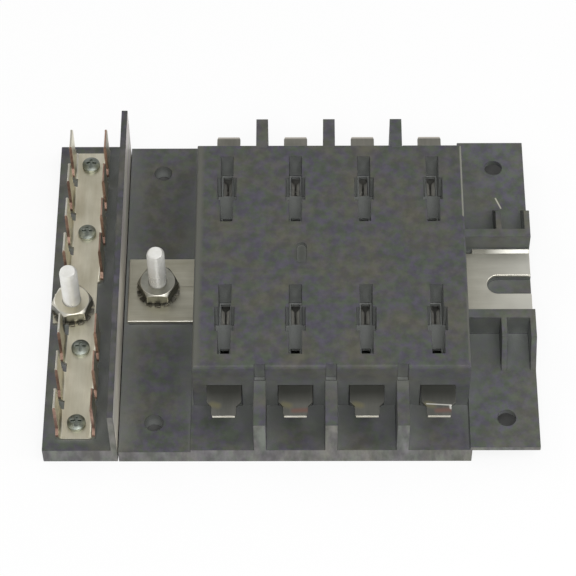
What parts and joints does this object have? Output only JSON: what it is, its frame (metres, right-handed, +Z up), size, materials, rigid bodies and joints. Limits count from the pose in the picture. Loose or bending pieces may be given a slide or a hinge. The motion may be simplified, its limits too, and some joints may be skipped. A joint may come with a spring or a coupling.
{
  "type": "fuse block",
  "caption": "Fuse block with two rows of blade fuse sockets, a power bus with stud and link slot, push-on load tabs and a ground strip behind a divider wall.",
  "frame": {"origin": "middle of the footprint, on the surface that the block is screwed to", "axes": "+X along the fuse columns from the ground pad to the ear, +Y to the rear row, +Z up from the panel"},
  "size_m": [0.128, 0.0982, 0.0242],
  "materials": {
    "moulding": "satin black thermoplastic",
    "plated_bar": "dull tin plate on copper alloy",
    "tinned_strip": "tin plate with bare copper cut edges",
    "zinc_plate": "bright zinc plate",
    "dark_zinc": "dull zinc plate",
    "brass": "plain brass"
  },
  "bodies": {
    "block": {"ground_pad": "moulding", "main_base": "moulding", "fuse_housing": "moulding", "bus_bar": "plated_bar", "ground_strip": "tinned_strip", "power_stud": "zinc_plate", "ground_stud": "zinc_plate", "load_terminal_front_1": "tinned_strip", "load_terminal_rear_1": "tinned_strip", "bus_clip_1": "tinned_strip", "bus_rivet_1": "brass", "ground_screw_1": "zinc_plate", "housing_screw_1": "zinc_plate", "load_terminal_front_2": "tinned_strip", "load_terminal_rear_2": "tinned_strip", "bus_clip_2": "tinned_strip", "bus_rivet_2": "brass", "ground_screw_2": "zinc_plate", "housing_screw_2": "zinc_plate", "load_terminal_front_3": "tinned_strip", "load_terminal_rear_3": "tinned_strip", "bus_clip_3": "tinned_strip", "bus_rivet_3": "brass", "ground_screw_3": "zinc_plate", "housing_screw_3": "zinc_plate", "load_terminal_front_4": "tinned_strip", "load_terminal_rear_4": "tinned_strip", "bus_clip_4": "tinned_strip", "bus_rivet_4": "brass", "ground_screw_4": "zinc_plate", "housing_screw_4": "zinc_plate"},
    "power_washer": {"power_washer": "dark_zinc"},
    "power_nut": {"power_nut": "dark_zinc"},
    "ground_washer": {"ground_washer": "dark_zinc"},
    "ground_nut": {"ground_nut": "dark_zinc"}
  },
  "joints": [
    {"name": "power_nut_rise", "type": "slide", "parent": "block", "child": "power_washer", "axis": [0, 0, 1], "range_m": [0, 0.0127]},
    {"name": "power_nut_turn", "type": "hinge", "parent": "power_washer", "child": "power_nut", "pos_m": [-0.0355, 0, 0.0075], "axis": [0, 0, 1], "range_deg": [0, 5760.1]},
    {"name": "ground_nut_rise", "type": "slide", "parent": "block", "child": "ground_washer", "axis": [0, 0, 1], "range_m": [0, 0.01349]},
    {"name": "ground_nut_turn", "type": "hinge", "parent": "ground_washer", "child": "ground_nut", "pos_m": [-0.0581, -0.00575, 0.0073], "axis": [0, 0, 1], "range_deg": [0, 6120.1]}
  ],
  "couplings": [
    {"joint": "power_nut_turn", "follows": "power_nut_rise", "rad_per_m": 7915.8},
    {"joint": "ground_nut_turn", "follows": "ground_nut_rise", "rad_per_m": 7915.8}
  ]
}
